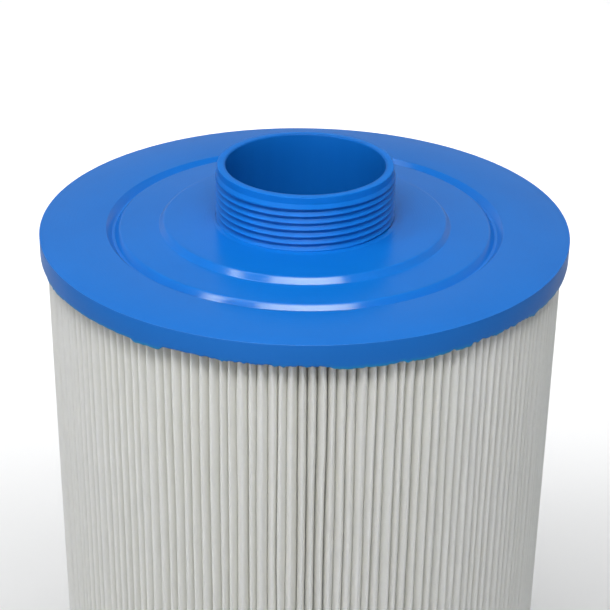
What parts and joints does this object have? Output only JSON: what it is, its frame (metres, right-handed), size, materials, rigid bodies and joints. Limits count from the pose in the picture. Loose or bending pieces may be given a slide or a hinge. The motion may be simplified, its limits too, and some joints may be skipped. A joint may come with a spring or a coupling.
{
  "type": "pleated filter cartridge",
  "caption": "Cylindrical pleated water filter cartridge with cast blue end caps, a threaded outlet neck on one end and a recessed grip bar in the closed end.",
  "frame": {"origin": "centre of the closed end's rest face", "axes": "+Z along the cartridge's axis, from the closed end towards the threaded neck; +X along the grip bar"},
  "size_m": [0.148, 0.148, 0.2236],
  "materials": {
    "cast_urethane": "gloss",
    "neck_plastic": "gloss",
    "core_plastic": "matte",
    "filter_fabric": "matte",
    "grip_plastic": "satin"
  },
  "bodies": {
    "root": {"threaded_end_cap": "cast_urethane", "threaded_neck": "neck_plastic", "core_upper": "core_plastic", "core_lower": "core_plastic", "pleated_media": "filter_fabric", "closed_end_cap": "cast_urethane", "grip_cup": "grip_plastic", "grip_bar": "grip_plastic"}
  },
  "joints": []
}
